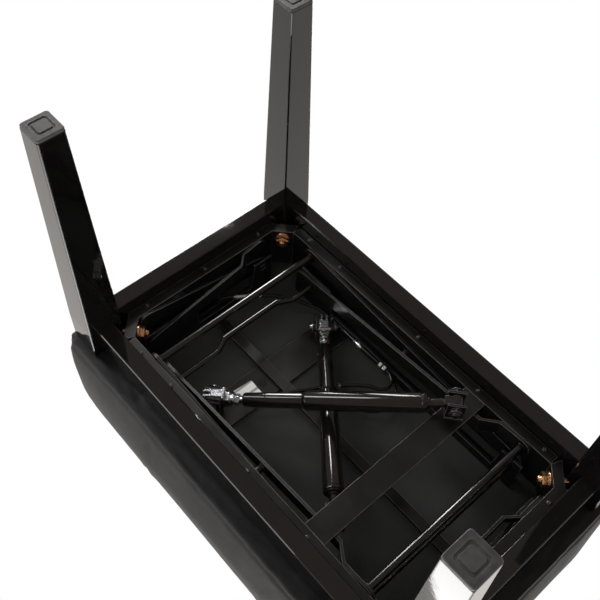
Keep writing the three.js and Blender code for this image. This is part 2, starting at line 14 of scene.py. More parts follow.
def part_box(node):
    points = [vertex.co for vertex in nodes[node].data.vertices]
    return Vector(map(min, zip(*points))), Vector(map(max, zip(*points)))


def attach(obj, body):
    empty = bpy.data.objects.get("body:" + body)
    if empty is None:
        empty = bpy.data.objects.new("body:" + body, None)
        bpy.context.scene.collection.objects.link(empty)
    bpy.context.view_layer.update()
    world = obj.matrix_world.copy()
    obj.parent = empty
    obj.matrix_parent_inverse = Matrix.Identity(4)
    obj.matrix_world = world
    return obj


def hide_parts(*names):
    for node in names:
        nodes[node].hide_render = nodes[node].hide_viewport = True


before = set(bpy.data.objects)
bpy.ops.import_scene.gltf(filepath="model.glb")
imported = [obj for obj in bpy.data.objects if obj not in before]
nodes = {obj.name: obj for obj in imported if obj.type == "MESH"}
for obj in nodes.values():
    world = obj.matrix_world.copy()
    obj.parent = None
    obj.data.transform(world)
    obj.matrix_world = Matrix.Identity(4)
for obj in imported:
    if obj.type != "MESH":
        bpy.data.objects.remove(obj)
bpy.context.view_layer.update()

MM = 0.001

# ---- driving dimensions, metres unless a comment says otherwise --------------------

CAMERA_AT = Vector((0.3199, 0.3853, -0.5634))
CAMERA_AIM = Vector((-0.1668, -0.0952, 0.4))
CAMERA_ROLL = math.radians(176.27)
LENS = 51.14  # mm on a 36 mm sensor

UNDERSIDE = 363.0  # height of the cushion's turned-under band, mm
CREASE_SHIFT = 11.9  # which part of the noise the creases are cut from
CLOTH_FRAMES = 20
CLOTH_MOST = 6 * MM  # how far the cloth may carry any point of the cover

LEG_AT = Vector((269.5, 156.5)) * MM  # the middle of a leg
FLOOR_HALF = 6
FOOT_HOLE_HALF = 12 * MM  # of a hole under a foot, smaller than the foot


# ---- small helpers ------------------------------------------------------------------

def linear(colour):
    """An sRGB hex colour as linear RGBA."""
    def channel(value):
        return value / 12.92 if value <= 0.04045 else ((value + 0.055) / 1.055) ** 2.4
    parts = [int(colour[i:i + 2], 16) / 255 for i in (1, 3, 5)]
    return (*[channel(part) for part in parts], 1.0)


def add(tree, kind, inputs=None, stops=(), **settings):
    """Adds one node with its settings; an input is a value or another node's output.

    The stops of a colour ramp are (position, hex colour) pairs.
    """
    node = tree.nodes.new("ShaderNode" + kind)
    for key, value in settings.items():
        setattr(node, key, value)
    for index, (position, colour) in enumerate(stops):
        elements = node.color_ramp.elements
        element = elements[index] if index < len(elements) else elements.new(position)
        element.position = position
        element.color = linear(colour)
    for key, value in (inputs or {}).items():
        if isinstance(value, bpy.types.NodeSocket):
            tree.links.new(value, node.inputs[key])
        else:
            node.inputs[key].default_value = value
    return node


def new_material(name, **shader_values):
    """A material with one Principled shader whose surface-wide constants are given."""
    material = bpy.data.materials.new(name)
    material.use_nodes = True
    tree = material.node_tree
    shader = tree.nodes["Principled BSDF"]
    for key, value in shader_values.items():
        shader.inputs[key.replace("_", " ")].default_value = value
    return material, tree, shader


def per_mm(size):
    """Texture scale that repeats about every size millimetres."""
    return 1000.0 / size


def edge_mask(tree, radius, low=0.02, high=0.2):
    """0 on flat faces, rising to 1 on outside and inside edges of a part."""
    rounded = add(tree, "Bevel", {"Radius": radius * MM}, samples=4).outputs["Normal"]
    flat = add(tree, "NewGeometry").outputs["Normal"]
    dot = add(tree, "VectorMath", {0: rounded, 1: flat}, operation="DOT_PRODUCT")
    away = add(tree, "Math", {0: 1.0, 1: dot.outputs["Value"]}, operation="SUBTRACT")
    span = {"Value": away.outputs[0], "From Min": low, "From Max": high}
    return add(tree, "MapRange", span).outputs["Result"]


# ---- materials ----------------------------------------------------------------------

def polished_polyester_lacquer():
    """Sprayed polyester, sanded and buffed: deep black, mirror gloss, slight orange peel."""
    material, tree, shader = new_material(
        "polished_polyester_lacquer", Roughness=0.045, IOR=1.52,
        Coat_Weight=0.25, Coat_Roughness=0.02,
    )
    place = add(tree, "TexCoord").outputs["Object"]
    haze = add(tree, "TexNoise", {"Vector": place, "Scale": per_mm(60), "Detail": 3.0})
    colour = add(tree, "ValToRGB", {"Fac": haze.outputs["Fac"]}, [
        (0.3, "#060606"), (0.7, "#0a0909"),
    ]).outputs["Color"]
    dust = add(tree, "TexNoise", {"Vector": place, "Scale": per_mm(1.6), "Detail": 1.0})
    specks = add(tree, "MapRange", {
        "Value": dust.outputs["Fac"], "From Min": 0.72, "From Max": 0.76, "To Max": 0.5,
    })
    speckled = add(tree, "Mix", {
        "Factor": specks.outputs["Result"], "A": colour, "B": linear("#2b2a29"),
    }, data_type="RGBA")
    tree.links.new(speckled.outputs["Result"], shader.inputs["Base Color"])
    peel = add(tree, "TexNoise", {"Vector": place, "Scale": per_mm(14), "Detail": 2.0})
    rounded = add(tree, "Bevel", {"Radius": 2.2 * MM}, samples=4)
    bump = add(tree, "Bump", {
        "Height": peel.outputs["Fac"], "Strength": 0.035, "Distance": 1.2 * MM,
        "Normal": rounded.outputs["Normal"],
    })
    tree.links.new(bump.outputs["Normal"], shader.inputs["Normal"])
    return material


def powder_coated_steel():
    """Folded sheet steel under black powder coat: satin and pebbled, with painted highlights on
    its sharp edges.
    """
    material, tree, shader = new_material("powder_coated_steel", IOR=1.5)
    place = add(tree, "TexCoord").outputs["Object"]
    cloud = add(tree, "TexNoise", {"Vector": place, "Scale": per_mm(35), "Detail": 4.0})
    colour = add(tree, "ValToRGB", {"Fac": cloud.outputs["Fac"]}, [
        (0.3, "#060606"), (0.75, "#0d0c0c"),
    ]).outputs["Color"]
    edges = edge_mask(tree, 0.9)
    # Painted highlight: outside and inside edges are mixed towards light grey.
    edge_highlight = add(tree, "Mix", {
        "Factor": edges, "A": colour, "B": linear("#77777a"),
    }, data_type="RGBA")
    tree.links.new(edge_highlight.outputs["Result"], shader.inputs["Base Color"])
    gloss = add(tree, "MapRange", {
        "Value": cloud.outputs["Fac"], "From Min": 0.3, "From Max": 0.7,
        "To Min": 0.27, "To Max": 0.38,
    })
    tree.links.new(gloss.outputs["Result"], shader.inputs["Roughness"])
    pebble = add(tree, "TexNoise", {"Vector": place, "Scale": per_mm(0.9), "Detail": 2.0})
    rounded = add(tree, "Bevel", {"Radius": 0.8 * MM}, samples=4)
    bump = add(tree, "Bump", {
        "Height": pebble.outputs["Fac"], "Strength": 0.12, "Distance": 0.15 * MM,
        "Normal": rounded.outputs["Normal"],
    })
    tree.links.new(bump.outputs["Normal"], shader.inputs["Normal"])
    return material


def gloss_enamelled_tube():
    """Gas-spring tube under gloss black enamel: smooth, with long clear reflections."""
    material, tree, shader = new_material("gloss_enamelled_tube", Roughness=0.12, IOR=1.55)
    place = add(tree, "TexCoord").outputs["Object"]
    mottle = add(tree, "TexNoise", {"Vector": place, "Scale": per_mm(18), "Detail": 3.0})
    colour = add(tree, "ValToRGB", {"Fac": mottle.outputs["Fac"]}, [
        (0.3, "#0c0a09"), (0.7, "#131010"),
    ]).outputs["Color"]
    tree.links.new(colour, shader.inputs["Base Color"])
    ripple = add(tree, "TexNoise", {"Vector": place, "Scale": per_mm(4), "Detail": 2.0})
    rounded = add(tree, "Bevel", {"Radius": 0.8 * MM}, samples=4)
    bump = add(tree, "Bump", {
        "Height": ripple.outputs["Fac"], "Strength": 0.012, "Distance": 0.3 * MM,
        "Normal": rounded.outputs["Normal"],
    })
    tree.links.new(bump.outputs["Normal"], shader.inputs["Normal"])
    return material


def oxide_black_rod():
    """Drawn rod, oiled black oxide: deep black that carries one thin bright line."""
    material, tree, shader = new_material("oxide_black_rod", Roughness=0.16, IOR=1.6)
    place = add(tree, "TexCoord").outputs["Object"]
    oil = add(tree, "TexNoise", {"Vector": place, "Scale": per_mm(25), "Detail": 4.0})
    colour = add(tree, "ValToRGB", {"Fac": oil.outputs["Fac"]}, [
        (0.3, "#040404"), (0.7, "#090909"),
    ]).outputs["Color"]
    tree.links.new(colour, shader.inputs["Base Color"])
    drawn = add(tree, "TexNoise", {"Vector": place, "Scale": per_mm(2), "Detail": 2.0})
    bump = add(tree, "Bump", {
        "Height": drawn.outputs["Fac"], "Strength": 0.04, "Distance": 0.15 * MM,
    })
    tree.links.new(bump.outputs["Normal"], shader.inputs["Normal"])
    return material


def plated_metal(name, stops, roughness, cloud_size, scratch):
    """A plated steel: metallic, with clouded plating and fine scratches."""
    material, tree, shader = new_material(name, Metallic=1.0)
    place = add(tree, "TexCoord").outputs["Object"]
    cloud = add(tree, "TexNoise", {
        "Vector": place, "Scale": per_mm(cloud_size), "Detail": 4.0, "Roughness": 0.6,
    })
    colour = add(tree, "ValToRGB", {"Fac": cloud.outputs["Fac"]}, stops).outputs["Color"]
    tree.links.new(colour, shader.inputs["Base Color"])
    gloss = add(tree, "MapRange", {
        "Value": cloud.outputs["Fac"], "From Min": 0.3, "From Max": 0.7,
        "To Min": roughness * 0.75, "To Max": roughness * 1.3,
    })
    tree.links.new(gloss.outputs["Result"], shader.inputs["Roughness"])
    grain = add(tree, "TexNoise", {"Vector": place, "Scale": per_mm(0.7), "Detail": 2.0})
    rounded = add(tree, "Bevel", {"Radius": 0.5 * MM}, samples=4)
    bump = add(tree, "Bump", {
        "Height": grain.outputs["Fac"], "Strength": scratch, "Distance": 0.1 * MM,
        "Normal": rounded.outputs["Normal"],
    })
    tree.links.new(bump.outputs["Normal"], shader.inputs["Normal"])
    return material


def yellow_passivated_zinc():
    """Zinc plate with a yellow chromate film: gold, drifting to rose and green."""
    stops = [(0.3, "#d8a070"), (0.48, "#eac49a"), (0.6, "#cf8f6a"), (0.75, "#d9b98a")]
    return plated_metal("yellow_passivated_zinc", stops, 0.24, 6, 0.1)


def bright_zinc_plate():
    """Clear zinc plate on cast and pressed steel: cold silver, slightly clouded."""
    stops = [(0.3, "#b9bec4"), (0.55, "#d7dbdf"), (0.75, "#a6abb2")]
    return plated_metal("bright_zinc_plate", stops, 0.26, 5, 0.15)


def hard_chromed_rod():
    """Ground and hard-chromed rod: a near mirror."""
    stops = [(0.3, "#dfe1e4"), (0.7, "#eff0f2")]
    return plated_metal("hard_chromed_rod", stops, 0.06, 20, 0.02)


def bare_birch_plywood():
    """Rotary-cut birch plywood: pale brown, long soft grain."""
    material, tree, shader = new_material("bare_birch_plywood", Roughness=0.7, IOR=1.5)
    along = add(tree, "TexCoord").outputs["Object"]
    place = add(tree, "Mapping", {"Vector": along, "Scale": (0.12, 1, 1)}).outputs["Vector"]
    grain = add(tree, "TexNoise", {
        "Vector": place, "Scale": per_mm(3), "Detail": 6.0, "Distortion": 0.4,
    })
    stops = [(0.3, "#8c6a45"), (0.5, "#b08e63"), (0.7, "#c3a47a")]
    colour = add(tree, "ValToRGB", {"Fac": grain.outputs["Fac"]}, stops).outputs["Color"]
    tree.links.new(colour, shader.inputs["Base Color"])
    bump = add(tree, "Bump", {"Height": grain.outputs["Fac"], "Distance": 0.2 * MM})
    tree.links.new(bump.outputs["Normal"], shader.inputs["Normal"])
    return material


def embossed_vinyl():
    """Calendered vinyl with an embossed hide grain: soft black with a low sheen."""
    material, tree, shader = new_material(
        "embossed_vinyl", Roughness=0.43, IOR=1.5, Specular_IOR_Level=0.27,
    )
    place = add(tree, "TexCoord").outputs["Object"]
    shade = add(tree, "TexNoise", {"Vector": place, "Scale": per_mm(90), "Detail": 4.0})
    colour = add(tree, "ValToRGB", {"Fac": shade.outputs["Fac"]}, [
        (0.3, "#262423"), (0.7, "#302e2d"),
    ]).outputs["Color"]
    # Pebbles of 1.6 mm; the real emboss is nearer 1 mm and would not show.
    pebble = add(tree, "TexVoronoi", {
        "Vector": place, "Scale": per_mm(1.6), "Randomness": 0.9,
    }, feature="DISTANCE_TO_EDGE")
    valley = add(tree, "MapRange", {
        "Value": pebble.outputs["Distance"], "From Min": 0.0, "From Max": 0.16,
    })
    # Painted shade: the grooves between the pebbles are mixed towards near black.
    groove_shaded = add(tree, "Mix", {
        "Factor": valley.outputs["Result"], "A": linear("#0a0a0b"), "B": colour,
    }, data_type="RGBA")
    # Painted shade: the turned-under band, which faces down, is mixed towards a darker black.
    height = add(tree, "SeparateXYZ", {"Vector": place}).outputs["Z"]
    side = add(tree, "MapRange", {
        "Value": height,
        "From Min": (UNDERSIDE + 0.8) * MM, "From Max": (UNDERSIDE + 3.2) * MM,
    })
    shown = add(tree, "Mix", {
        "Factor": side.outputs["Result"],
        "A": linear("#0e0e0f"), "B": groove_shaded.outputs["Result"],
    }, data_type="RGBA")
    tree.links.new(shown.outputs["Result"], shader.inputs["Base Color"])
    crease = add(tree, "TexNoise", {
        "Vector": place, "Scale": per_mm(24), "Detail": 5.0, "Distortion": 1.1,
    })
    soft = add(tree, "Bump", {
        "Height": crease.outputs["Fac"], "Strength": 0.35, "Distance": 2.5 * MM,
    })
    bump = add(tree, "Bump", {
        "Height": valley.outputs["Result"], "Strength": 0.5, "Distance": 0.3 * MM,
        "Normal": soft.outputs["Normal"],
    })
    tree.links.new(bump.outputs["Normal"], shader.inputs["Normal"])
    return material


def woven_cambric():
    """Spun cotton dust cover in plain weave: matt black, threads over and under."""
    material, tree, shader = new_material(
        "woven_cambric", Roughness=0.85, IOR=1.45, Sheen_Weight=0.25, Sheen_Roughness=0.6,
    )
    place = add(tree, "TexCoord").outputs["Object"]
    # Threads every 1.1 mm; a real cambric has about 2 in each millimetre.
    heights = []
    for direction in ("X", "Y"):
        wave = add(tree, "TexWave", {
            "Vector": place, "Scale": per_mm(1.1) / 10, "Distortion": 1.4, "Detail": 1.0,
        }, bands_direction=direction)
        heights.append(wave.outputs["Fac"])
    weave = add(tree, "Math", {0: heights[0], 1: heights[1]}, operation="MULTIPLY")
    fluff = add(tree, "TexNoise", {"Vector": place, "Scale": per_mm(5), "Detail": 5.0})
    mixed = add(tree, "Math", {
        0: weave.outputs[0], 1: fluff.outputs["Fac"],
    }, operation="MULTIPLY")
    colour = add(tree, "ValToRGB", {"Fac": mixed.outputs[0]}, [
        (0.05, "#090909"), (0.5, "#131313"),
    ]).outputs["Color"]
    tree.links.new(colour, shader.inputs["Base Color"])
    bump = add(tree, "Bump", {
        "Height": weave.outputs[0], "Strength": 0.3, "Distance": 0.25 * MM,
    })
    tree.links.new(bump.outputs["Normal"], shader.inputs["Normal"])
    return material


def moulded_plastic(name, dark, light, roughness):
    """Injection-moulded plastic with a fine spark-eroded skin."""
    material, tree, shader = new_material(name, Roughness=roughness, IOR=1.5)
    place = add(tree, "TexCoord").outputs["Object"]
    mottle = add(tree, "TexNoise", {"Vector": place, "Scale": per_mm(8), "Detail": 3.0})
    colour = add(tree, "ValToRGB", {"Fac": mottle.outputs["Fac"]}, [
        (0.3, dark), (0.7, light),
    ]).outputs["Color"]
    tree.links.new(colour, shader.inputs["Base Color"])
    skin = add(tree, "TexNoise", {"Vector": place, "Scale": per_mm(0.6), "Detail": 2.0})
    rounded = add(tree, "Bevel", {"Radius": 0.6 * MM}, samples=4)
    bump = add(tree, "Bump", {
        "Height": skin.outputs["Fac"], "Strength": 0.12, "Distance": 0.1 * MM,
        "Normal": rounded.outputs["Normal"],
    })
    tree.links.new(bump.outputs["Normal"], shader.inputs["Normal"])
    return material


LACQUER = polished_polyester_lacquer()
STEEL = powder_coated_steel()
TUBE = gloss_enamelled_tube()
ROD = oxide_black_rod()
YELLOW_ZINC = yellow_passivated_zinc()
BRIGHT_ZINC = bright_zinc_plate()
CHROME = hard_chromed_rod()
PLYWOOD = bare_birch_plywood()
VINYL = embossed_vinyl()
CAMBRIC = woven_cambric()
NYLON = moulded_plastic("moulded_nylon_glide", "#3a3a3b", "#4b4a4b", 0.55)
SHEATH = moulded_plastic("extruded_cable_sheath", "#0a0a0b", "#111112", 0.16)
GRIP = moulded_plastic("dipped_grip_sleeve", "#0d0d0e", "#161617", 0.45)

FINISHES = {
    "leg_bolt": YELLOW_ZINC, "leg": LACQUER, "apron": LACQUER, "glide": NYLON,
    "lower_piston": CHROME, "upper_piston": CHROME, "lower_cylinder": TUBE,
    "upper_cylinder": TUBE, "lower_release": BRIGHT_ZINC, "upper_release": BRIGHT_ZINC,
    "lower_trigger": BRIGHT_ZINC, "upper_trigger": BRIGHT_ZINC,
    "seat_board": PLYWOOD, "seat_rail": PLYWOOD, "cushion": VINYL, "dust_cover": CAMBRIC,
    "release_cable": SHEATH, "branch_cable": SHEATH,
}


def finish_nodes():
    """Gives every CAD node its real finish; what isn't listed is powder-coated steel."""
    for name, node in nodes.items():
        material = STEEL
        for start, choice in FINISHES.items():
            if name.startswith(start):
                material = choice
                break
        node.data.materials.clear()
        node.data.materials.append(material)


# ---- mesh tools ---------------------------------------------------------------------

def new_object(name, data):
    """An object that holds the data, linked to the scene."""
    made = bpy.data.objects.new(name, data)
    bpy.context.scene.collection.objects.link(made)
    return made


def mesh_piece(name, bm, material, body, sharp=35):
    """Turns a bmesh into a piece that rides on a body, smooth up to the sharp angle."""
    bmesh.ops.recalc_face_normals(bm, faces=bm.faces)
    mesh = bpy.data.meshes.new(name)
    bm.to_mesh(mesh)
    bm.free()
    mesh.materials.append(material)
    mesh.polygons.foreach_set("use_smooth", [True] * len(mesh.polygons))
    mesh.set_sharp_from_angle(angle=math.radians(sharp))
    piece = new_object(name, mesh)
    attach(piece, body)
    return piece


def pointing(at, direction, up=(0, 0, 1)):
    """A place whose x axis points along direction and whose z axis leans towards up."""
    x = Vector(direction).normalized()
    y = Vector(up).cross(x)
    if y.length < 1e-6:
        y = Vector((0, 1, 0))
    y.normalize()
    z = x.cross(y)
    place = Matrix((x, y, z)).transposed().to_4x4()
    place.translation = Vector(at)
    return place


def revolve(bm, profile, place, segments=48):
    """Spins (along, radius) points in millimetres about the x axis of place."""
    rings = []
    for along, radius in profile:
        if radius == 0:
            rings.append([bm.verts.new(place @ Vector((along * MM, 0, 0)))])
            continue
        ring = []
        for i in range(segments):
            turn = 2 * math.pi * (i + 0.5) / segments
            y, z = radius * math.cos(turn), radius * math.sin(turn)
            ring.append(bm.verts.new(place @ (Vector((along, y, z)) * MM)))
        rings.append(ring)
    for lower, upper in zip(rings, rings[1:]):
        for i in range(segments):
            j = (i + 1) % segments
            if len(lower) == 1:
                bm.faces.new((lower[0], upper[i], upper[j]))
            elif len(upper) == 1:
                bm.faces.new((lower[i], lower[j], upper[0]))
            else:
                bm.faces.new((lower[i], lower[j], upper[j], upper[i]))


def bridge(bm, rings):
    """Joins rings of equal count with faces and caps the first and the last."""
    for lower, upper in zip(rings, rings[1:]):
        for i in range(len(lower)):
            j = (i + 1) % len(lower)
            bm.faces.new((lower[i], lower[j], upper[j], upper[i]))
    bm.faces.new(list(reversed(rings[0])))
    bm.faces.new(rings[-1])


def block(bm, middle, size):
    """A square block that is still to be rounded."""
    bmesh.ops.create_cube(bm, size=1)
    place = Matrix.Translation(middle) @ Matrix.Diagonal((*size, 1))
    bmesh.ops.transform(bm, matrix=place, verts=bm.verts)


def rod(bm, a, b, radius, place, ease=0.6, segments=40):
    """A solid bar from a to b with eased ends."""
    revolve(bm, [
        (a, 0), (a, radius - ease), (a + ease, radius), (b - ease, radius),
        (b, radius - ease), (b, 0),
    ], place, segments)


def washer(bm, a, b, outer, inner, place, segments=40, ease=0.3):
    """A flat ring from a to b; six segments make a nut."""
    revolve(bm, [
        (a, inner), (a, outer - ease), (a + ease, outer), (b - ease, outer),
        (b, outer - ease), (b, inner), (a, inner),
    ], place, segments)


def thread(bm, a, b, radius, pitch, place):
    """A screwed end, drawn as one crest for each pitch."""
    ease, root = 0.8, radius - 0.6
    profile = [(a, 0), (a, radius - ease)]
    along = a + ease
    while along < b - pitch:
        profile += [(along, root), (along + pitch / 2, radius)]
        along += pitch
    profile += [(b, root), (b, 0)]
    revolve(bm, profile, place, 32)


def plate(bm, outline, a, b, place, hole=0, hole_at=(0, 0)):
    """A plate from a to b across y, its (x, z) outline round an optional hole."""
    def at(x, y, z):
        return bm.verts.new(place @ (Vector((x, y, z)) * MM))
    count = len(outline)
    sides = []
    for y in (a, b):
        outer = [at(x, y, z) for x, z in outline]
        inner = []
        if hole:
            for x, z in outline:
                turn = math.atan2(z - hole_at[1], x - hole_at[0])
                inner.append(at(
                    hole_at[0] + hole * math.cos(turn), y, hole_at[1] + hole * math.sin(turn),
                ))
        sides.append((outer, inner))
    for i in range(count):
        j = (i + 1) % count
        (outer_a, inner_a), (outer_b, inner_b) = sides
        bm.faces.new((outer_a[i], outer_a[j], outer_b[j], outer_b[i]))
        if hole:
            bm.faces.new((inner_a[j], inner_a[i], inner_b[i], inner_b[j]))
            bm.faces.new((outer_a[j], outer_a[i], inner_a[i], inner_a[j]))
            bm.faces.new((outer_b[i], outer_b[j], inner_b[j], inner_b[i]))
    if not hole:
        bm.faces.new(sides[0][0])
        bm.faces.new(list(reversed(sides[1][0])))


def arc(centre, radius, start, stop, steps):
    """Points on an arc between two angles in degrees."""
    points = []
    for i in range(steps + 1):
        turn = math.radians(start + (stop - start) * i / steps)
        points.append((centre[0] + radius * math.cos(turn), centre[1] + radius * math.sin(turn)))
    return points


def soften(piece, width, segments=2, angle=40):
    """Rounds the edges of a piece that are sharper than the angle."""
    bevel = piece.modifiers.new("eased_edges", "BEVEL")
    bevel.width = width * MM
    bevel.segments = segments
    bevel.limit_method = "ANGLE"
    bevel.angle_limit = math.radians(angle)


def along_curve(points, steps):
    """Points on a smooth curve through the given ones."""
    padded = [points[0] * 2 - points[1], *points, points[-1] * 2 - points[-2]]
    out = []
    for i in range(len(points) - 1):
        p0, p1, p2, p3 = padded[i:i + 4]
        for k in range(steps):
            t = k / steps
            out.append(0.5 * (
                2 * p1 + (p2 - p0) * t + (2 * p0 - 5 * p1 + 4 * p2 - p3) * t * t
                + (3 * p1 - p0 - 3 * p2 + p3) * t ** 3
            ))
    out.append(points[-1])
    return out


def tube(bm, points, radius, segments=16):
    """A round tube of millimetre radius along points in metres, closed at both ends."""
    rings = []
    normal = Vector((0, 0, 1))
    for i, point in enumerate(points):
        before, after = points[max(i - 1, 0)], points[min(i + 1, len(points) - 1)]
        forward = (after - before).normalized()
        side = normal.cross(forward).normalized()
        normal = forward.cross(side)
        ring = []
        for k in range(segments):
            turn = 2 * math.pi * k / segments
            spoke = side * math.cos(turn) + normal * math.sin(turn)
            ring.append(bm.verts.new(point + spoke * radius * MM))
        rings.append(ring)
    bridge(bm, rings)


# ---- padded seat --------------------------------------------------------------------

# Height, fullness between the fold (0) and the widest line (1), and corner radius, mm.
COVER_ROWS = [
    (UNDERSIDE, 0.0, 16), (368, 0.3, 21), (375, 0.5, 26), (395, 0.86, 38), (421, 1.0, 48),
    (446, 0.97, 52), (461, 0.76, 54), (470, 0.34, 56), (474.5, -0.15, 56), (475.6, -0.8, 58),
]
FOLD = (299, 186)
WIDEST = (304.5, 201.5)  # before it swells
LIP = (272.4, 160.4)
POCKET = (290.5, 178.5)
POCKET_TOP = 446.6
LOWEST = 361.9  # the gathers stop here, clear of the legs' tops
BAND_RINGS = 8  # across the turned-under band
TOP_RINGS = 19
TOP = 475.8
CROWN = 2.4  # how much the middle of the top stands over its edge
HEM = 6  # height of the stitched line above the fold
SIDE_SEAM_X = 110  # where the panels of a long side meet
LINE_HALF = 2.5  # half the width of a hem's or a seam's groove
PLEATS_FROM = (281, 168)  # where a corner starts
NOTCH = (100, 48, 30)  # cut round the release lever
NOTCH_Z = 377
CORNER_STEPS, LONG_STEPS, SHORT_STEPS = 9, 64, 40  # points on a ring's parts


def rounded_rectangle(half_x, half_y, corner, z):
    """A ring of points, the same number whatever its size, starting at +X."""
    ring = []
    quarters = ((1, 1, 0), (-1, 1, 1), (-1, -1, 2), (1, -1, 3))
    for index, (sx, sy, turn) in enumerate(quarters):
        centre = Vector((sx * (half_x - corner), sy * (half_y - corner)))
        for i in range(CORNER_STEPS):
            angle = (turn + i / CORNER_STEPS) * math.pi / 2
            ring.append((centre.x + corner * math.cos(angle), centre.y + corner * math.sin(angle)))
        steps = LONG_STEPS if index % 2 == 0 else SHORT_STEPS
        start = Vector((centre.x + corner * math.cos((turn + 1) * math.pi / 2),
                        centre.y + corner * math.sin((turn + 1) * math.pi / 2)))
        nx, ny, nturn = quarters[(index + 1) % 4]
        stop = Vector((nx * (half_x - corner) + corner * math.cos(nturn * math.pi / 2),
                       ny * (half_y - corner) + corner * math.sin(nturn * math.pi / 2)))
        for i in range(steps):
            point = start.lerp(stop, i / steps)
            ring.append((point.x, point.y))
    return [Vector((x, y, z)) * MM for x, y in ring]


def cover_rings():
    """Rings from the middle of the pocket, under the lip, round the side to the top."""
    rings = []
    for share in (0.1, 0.5, 0.9):
        half_x, half_y = POCKET[0] * share, POCKET[1] * share
        rings.append(rounded_rectangle(half_x, half_y, 4 * share, POCKET_TOP))
    rings.append(rounded_rectangle(*POCKET, 2, POCKET_TOP))
    for z in (420, 393, 366.0):
        rings.append(rounded_rectangle(*POCKET, 2, z))
    rings.append(rounded_rectangle(*LIP, 2, 365.6))
    rings.append(rounded_rectangle(*LIP, 2, 363.4))
    for i in range(1, BAND_RINGS + 1):
        out = i / (BAND_RINGS + 1)
        rings.append(rounded_rectangle(
            LIP[0] + out * (FOLD[0] - LIP[0]), LIP[1] + out * (FOLD[1] - LIP[1]),
            2 + 14 * out, UNDERSIDE,
        ))
    fixed = len(rings)
    for z, full, corner in along_curve([Vector(row) for row in COVER_ROWS], 4):
        half_x = FOLD[0] + full * (WIDEST[0] - FOLD[0])
        half_y = FOLD[1] + full * (WIDEST[1] - FOLD[1])
        rings.append(rounded_rectangle(half_x, half_y, corner, z))
    _, full, corner = COVER_ROWS[-1]
    last_x = FOLD[0] + full * (WIDEST[0] - FOLD[0])
    last_y = FOLD[1] + full * (WIDEST[1] - FOLD[1])
    for i in range(1, TOP_RINGS + 1):
        share = 1 - i / (TOP_RINGS + 1.5)
        height = TOP + CROWN * (1 - share * share)
        rings.append(rounded_rectangle(last_x * share, last_y * share, corner * share, height))
    return rings, fixed


def swell(piece, pinned):
    """Inflates the cover as cloth, held at the pinned points, and keeps the result."""
    group = piece.vertex_groups.new(name="pinned")
    group.add(pinned, 1.0, "REPLACE")
    cloth = piece.modifiers.new("cloth", "CLOTH")
    settings = cloth.settings
    settings.quality = 5
    settings.mass = 0.4
    settings.tension_stiffness = 25
    settings.compression_stiffness = 25
    settings.shear_stiffness = 8
    settings.bending_stiffness = 1.5
    settings.use_pressure = True
    settings.uniform_pressure_force = 4
    settings.vertex_group_mass = "pinned"
    settings.effector_weights.gravity = 0
    scene = bpy.context.scene
    for step in range(1, CLOTH_FRAMES + 1):
        scene.frame_set(step)
    ready = piece.evaluated_get(bpy.context.evaluated_depsgraph_get())
    for vertex, moved in zip(piece.data.vertices, ready.data.vertices):
        away = moved.co - vertex.co
        if away.length > CLOTH_MOST:
            away *= CLOTH_MOST / away.length
        vertex.co += away
    piece.modifiers.remove(cloth)
    scene.frame_set(1)


def crease(co):
    """How far the vinyl's side moves outwards at a point, in metres."""
    x, y, z = co / MM
    shift = CREASE_SHIFT
    rise = z - UNDERSIDE
    low = max(0.0, 1 - rise / 70) ** 1.5
    ripple = noise.noise(Vector((x / 15, y / 15, rise / 50 + shift)))
    pucker = noise.noise(Vector((x / 6, y / 6, rise / 70 + 5 + shift)))
    billow = noise.noise(Vector((x / 85, y / 85, z / 40 + shift)))
    out = (1.3 * ripple + 0.5 * pucker) * low + 0.9 * billow
    if abs(rise - HEM) < LINE_HALF:
        out -= 1.6 * math.cos((rise - HEM) / LINE_HALF * math.pi / 2)
    if abs(y) > 150 and rise > HEM and z < 472:
        seam = abs(abs(x) - SIDE_SEAM_X)
        if seam < LINE_HALF:
            out -= 2.2 * math.cos(seam / LINE_HALF * math.pi / 2)
        out += 0.9 * math.exp(-(seam / 10) ** 2)
    corner = Vector((abs(x) - PLEATS_FROM[0], abs(y) - PLEATS_FROM[1]))
    if corner.x > 0 and corner.y > 0:
        turn = math.atan2(corner.y, corner.x)
        out += 1.6 * math.sin(turn * 10) * math.exp(-max(rise, 0) / 20)
    return out * MM


def gathers(co):
    """How far the turned-under band moves up or down at a point, in metres."""
    x, y, _ = co / MM
    shift = CREASE_SHIFT
    share = max((abs(x) - LIP[0]) / (FOLD[0] - LIP[0]), (abs(y) - LIP[1]) / (FOLD[1] - LIP[1]))
    share = min(max(share, 0), 1)
    wave = noise.noise(Vector((x / 11, y / 11, shift))) - 0.2
    fine = noise.noise(Vector((x / 4, y / 4, shift)))
    return (2.6 * wave + 0.8 * fine) * math.sin(math.pi * share) * MM


def make_cover():
    """The sewn cover: swollen as cloth, then hemmed, seamed, creased and notched."""
    rings, fixed = cover_rings()
    bm = bmesh.new()
    bridge(bm, [[bm.verts.new(point) for point in ring] for ring in rings])
    cover = mesh_piece("vinyl_cover", bm, VINYL, "seat", sharp=60)
    around = len(rings[0])
    swell(cover, list(range(around * (fixed + 2))))
    normals = [vertex.normal.copy() for vertex in cover.data.vertices]
    for index, vertex in enumerate(cover.data.vertices):
        if index >= around * fixed:
            vertex.co += normals[index] * crease(vertex.co)
        elif index >= around * (fixed - BAND_RINGS):
            vertex.co.z += gathers(vertex.co)
        vertex.co.z = max(vertex.co.z, LOWEST * MM)
    cut_lever_notch(cover)
    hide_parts("cushion")


